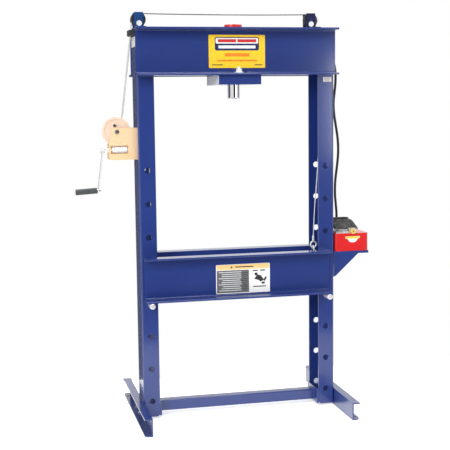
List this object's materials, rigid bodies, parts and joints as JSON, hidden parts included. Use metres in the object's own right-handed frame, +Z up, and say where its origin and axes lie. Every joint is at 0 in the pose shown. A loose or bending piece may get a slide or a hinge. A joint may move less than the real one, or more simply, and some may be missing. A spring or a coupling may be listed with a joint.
{
  "type": "hydraulic shop press",
  "caption": "Floor-standing H-frame hydraulic shop press with a winch-raised bed on pins, a spring-return ram and an air-over-oil foot pump on a side tray.",
  "frame": {"origin": "on the floor, at the centre of the rectangle of the four anchor holes, which is the centre of the frame", "axes": "+X to the right of someone facing the press, +Y away from them, +Z up"},
  "size_m": [1.3783, 0.71, 1.856],
  "materials": {
    "frame_blue": "glossy industrial blue enamel",
    "cylinder_red": "glossy red enamel",
    "chrome": "hard chrome, polished",
    "steel": "turned steel",
    "zinc": "bright zinc plate",
    "winch_zinc": "yellow-passivated zinc plate",
    "cable_steel": "galvanised wire rope",
    "sheave_steel": "zinc plated pulley",
    "spring_steel": "oiled spring wire",
    "arm_grey": "light grey paint",
    "grip_plastic": "ribbed dark plastic",
    "black_plastic": "black plastic",
    "black_paint": "black enamel",
    "pump_alloy": "die-cast aluminium",
    "brass": "machined brass",
    "hose_rubber": "smooth black hose cover",
    "plate_yellow": "printed-label stock with plain colour panels",
    "plate_white": "plain white label stock"
  },
  "bodies": {
    "frame": {"air_inlet_fitting": "brass", "cable_guide": "black_plastic", "crossbar": "frame_blue", "cylinder_body": "cylinder_red", "cylinder_cap": "cylinder_red", "cylinder_gland": "steel", "cylinder_mount_block": "frame_blue", "cylinder_port_fitting": "zinc", "drum_axle": "steel", "foot_bolts": "zinc", "front_head_channel": "frame_blue", "hydraulic_hose": "hose_rubber", "left_cable": "cable_steel", "left_drop_cable": "cable_steel", "left_foot": "frame_blue", "left_upright": "frame_blue", "mount_block_bolts": "zinc", "oil_plugs": "zinc", "oil_reservoir": "cylinder_red", "pulley_axles": "zinc", "pulley_brackets": "frame_blue", "pump_barrel": "steel", "pump_head": "pump_alloy", "pump_outlet_fitting": "zinc", "pump_tray": "frame_blue", "rating_plate": "plate_yellow", "rear_head_channel": "frame_blue", "reservoir_lid": "cylinder_red", "return_spring": "spring_steel", "right_cable": "cable_steel", "right_drop_cable": "cable_steel", "right_foot": "frame_blue", "right_upright": "frame_blue", "small_plates": "plate_white", "treadle_pin": "zinc", "winch_bolts": "zinc", "winch_frame": "winch_zinc", "worm_bearings": "winch_zinc"},
    "ram": {"ram": "chrome", "piston": "steel"},
    "bed": {"front_bed_channel": "frame_blue", "rear_bed_channel": "frame_blue", "bed_spacers": "frame_blue", "lifting_shackles": "zinc", "cable_end_fittings": "zinc", "bed_plate": "plate_yellow"},
    "left_pin": {"left_bed_pin": "zinc"},
    "right_pin": {"right_bed_pin": "zinc"},
    "winch_drum": {"worm_wheel": "winch_zinc", "wheel_bolts": "zinc", "cable_drum": "steel", "drum_windings": "cable_steel"},
    "crank": {"worm_shaft": "steel", "crank_arm": "arm_grey", "crank_spindle": "steel"},
    "grip": {"crank_grip": "grip_plastic"},
    "left_sheave": {"left_sheave": "sheave_steel"},
    "right_sheave": {"right_sheave": "sheave_steel"},
    "treadle": {"treadle": "black_paint"},
    "plunger": {"pump_plunger": "steel"}
  },
  "joints": [
    {"name": "ram_stroke", "type": "slide", "parent": "frame", "child": "ram", "axis": [0, 0, -1], "range_m": [0, 0.159], "stiffness_N_per_m": 2000, "springref_m": -0.1, "deforming": ["return_spring"]},
    {"name": "crank_turn", "type": "hinge", "parent": "frame", "child": "crank", "pos_m": [-0.614, -0.027, 1.244], "axis": [1, 0, 0], "range_deg": [0, 31047]},
    {"name": "drum_turn", "type": "hinge", "parent": "frame", "child": "winch_drum", "pos_m": [-0.551, 0, 1.325], "axis": [0, 1, 0], "range_deg": [0, 1552.4]},
    {"name": "bed_lift", "type": "slide", "parent": "frame", "child": "bed", "axis": [0, 0, 1], "range_m": [0, 0.60965], "deforming": ["left_drop_cable", "right_drop_cable"]},
    {"name": "left_sheave_turn", "type": "hinge", "parent": "frame", "child": "left_sheave", "pos_m": [-0.439, 0, 1.823], "axis": [0, 1, 0], "range_deg": [-1293.8, 0]},
    {"name": "right_sheave_turn", "type": "hinge", "parent": "frame", "child": "right_sheave", "pos_m": [0.366, 0, 1.823], "axis": [0, 1, 0], "range_deg": [-1293.8, 0]},
    {"name": "grip_spin", "type": "hinge", "parent": "crank", "child": "grip", "pos_m": [-0.6385, -0.027, 1.062], "axis": [-0.9983, 0, -0.0576], "continuous": true},
    {"name": "left_pin_pull", "type": "slide", "parent": "frame", "child": "left_pin", "axis": [0, -1, 0], "range_m": [0, 0.3]},
    {"name": "right_pin_pull", "type": "slide", "parent": "frame", "child": "right_pin", "axis": [0, -1, 0], "range_m": [0, 0.3]},
    {"name": "treadle_rock", "type": "hinge", "parent": "frame", "child": "treadle", "pos_m": [0.539, 0.01, 0.852], "axis": [1, 0, 0], "range_deg": [-5, 5], "stiffness_Nm_per_rad": 20},
    {"name": "plunger_stroke", "type": "slide", "parent": "frame", "child": "plunger", "axis": [0, 0, -1], "range_m": [0, 0.012], "stiffness_N_per_m": 500, "springref_m": -0.006}
  ],
  "couplings": [
    {"joint": "drum_turn", "follows": "crank_turn", "ratio": 0.05},
    {"joint": "bed_lift", "follows": "crank_turn", "m_per_rad": 0.001125},
    {"joint": "left_sheave_turn", "follows": "crank_turn", "ratio": -0.041667},
    {"joint": "right_sheave_turn", "follows": "crank_turn", "ratio": -0.041667}
  ]
}
